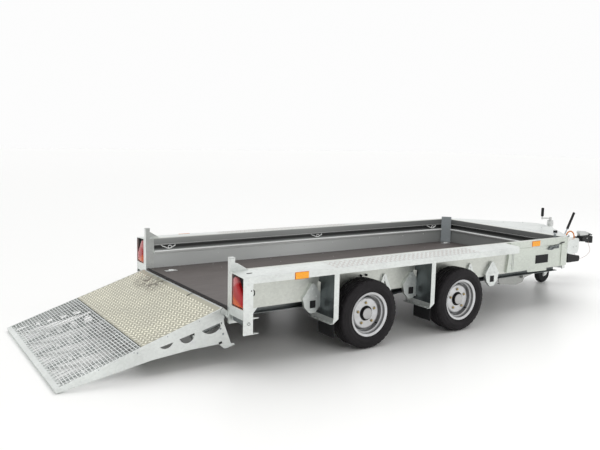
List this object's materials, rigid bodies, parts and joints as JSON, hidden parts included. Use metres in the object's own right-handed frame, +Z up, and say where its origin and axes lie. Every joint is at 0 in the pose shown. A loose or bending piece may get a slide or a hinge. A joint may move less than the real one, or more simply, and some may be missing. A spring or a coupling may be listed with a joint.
{
  "type": "twin-axle plant trailer",
  "caption": "Galvanised twin-axle trailer with low sides, mudguard shelves and a lowered ramp tailboard, for carrying small plant.",
  "frame": {"origin": "on the ground, midway along from the ramp's toe to the coupling's nose and midway across", "axes": "+X forward to the coupling, +Y to the trailer's left, +Z up"},
  "size_m": [6.4866, 2.0404, 0.838],
  "materials": {
    "galvanised": "hot-dip galvanised sheet and section",
    "tread": "chequered aluminium plate",
    "ply": "dark phenolic-faced plywood",
    "tyre": "black tyre rubber",
    "rubber": "black rubber",
    "rim": "silver paint",
    "black_plastic": "black plastic",
    "lens": "red lamp lens",
    "amber": "amber reflector",
    "cast_black": "black painted casting",
    "orange": "orange cable sheath",
    "cable": "thin plastic-sheathed steel cable"
  },
  "bodies": {
    "root": {"axle_front": "galvanised", "axle_rear": "galvanised", "bed_floor": "ply", "breakaway_cable": "cable", "cable_bow": "orange", "chassis_rails": "galvanised", "corner_posts": "galvanised", "coupling": "cast_black", "coupling_handle": "galvanised", "crossmembers": "galvanised", "drawbar": "galvanised", "front_panel_left": "galvanised", "front_panel_right": "galvanised", "handbrake_grip": "black_plastic", "handbrake_lever": "galvanised", "headboard": "galvanised", "jockey_clamp": "galvanised", "jockey_crank": "galvanised", "jockey_grip": "black_plastic", "lamp_housings": "black_plastic", "lamp_lenses": "lens", "leaf_springs": "galvanised", "mud_flaps": "rubber", "mudguard_shelf_left": "galvanised", "mudguard_shelf_right": "galvanised", "mudguard_struts_left": "galvanised", "mudguard_struts_right": "galvanised", "nose_deck": "galvanised", "rear_hinge_beam": "galvanised", "rear_post_left": "galvanised", "rear_post_right": "galvanised", "side_reflectors": "amber", "side_wall_left": "galvanised", "side_wall_right": "galvanised", "spring_hangers": "galvanised", "wheel_chock": "black_plastic"},
    "ramp": {"ramp_frame": "galvanised", "ramp_mesh": "galvanised", "ramp_tread_plate": "tread"},
    "wheel_rear_left": {"tyre_rear_left": "tyre", "rim_rear_left": "rim"},
    "wheel_rear_right": {"tyre_rear_right": "tyre", "rim_rear_right": "rim"},
    "wheel_front_left": {"tyre_front_left": "tyre", "rim_front_left": "rim"},
    "wheel_front_right": {"tyre_front_right": "tyre", "rim_front_right": "rim"},
    "jockey_leg": {"jockey_leg": "galvanised"},
    "jockey_fork": {"jockey_fork": "galvanised"},
    "jockey_wheel": {"jockey_wheel": "rubber"}
  },
  "joints": [
    {"name": "wheel_rear_left_spin", "type": "hinge", "parent": "root", "child": "wheel_rear_left", "pos_m": [-1.00671, 0.927, 0.2635], "axis": [0, 1, 0], "continuous": true},
    {"name": "wheel_rear_right_spin", "type": "hinge", "parent": "root", "child": "wheel_rear_right", "pos_m": [-1.00671, -0.927, 0.2635], "axis": [0, 1, 0], "continuous": true},
    {"name": "wheel_front_left_spin", "type": "hinge", "parent": "root", "child": "wheel_front_left", "pos_m": [-0.03671, 0.927, 0.2635], "axis": [0, 1, 0], "continuous": true},
    {"name": "wheel_front_right_spin", "type": "hinge", "parent": "root", "child": "wheel_front_right", "pos_m": [-0.03671, -0.927, 0.2635], "axis": [0, 1, 0], "continuous": true},
    {"name": "ramp_hinge", "type": "hinge", "parent": "root", "child": "ramp", "pos_m": [-2.11471, 0, 0.372], "axis": [0, 1, 0], "range_deg": [0, 108.18]},
    {"name": "jockey_slide", "type": "slide", "parent": "root", "child": "jockey_leg", "axis": [0, 0, 1], "range_m": [-0.05, 0.11]},
    {"name": "jockey_swivel", "type": "hinge", "parent": "jockey_leg", "child": "jockey_fork", "pos_m": [2.35329, -0.06, 0.22], "axis": [0, 0, 1], "continuous": true},
    {"name": "jockey_roll", "type": "hinge", "parent": "jockey_fork", "child": "jockey_wheel", "pos_m": [2.26529, -0.06, 0.1], "axis": [0, 1, 0], "continuous": true}
  ]
}
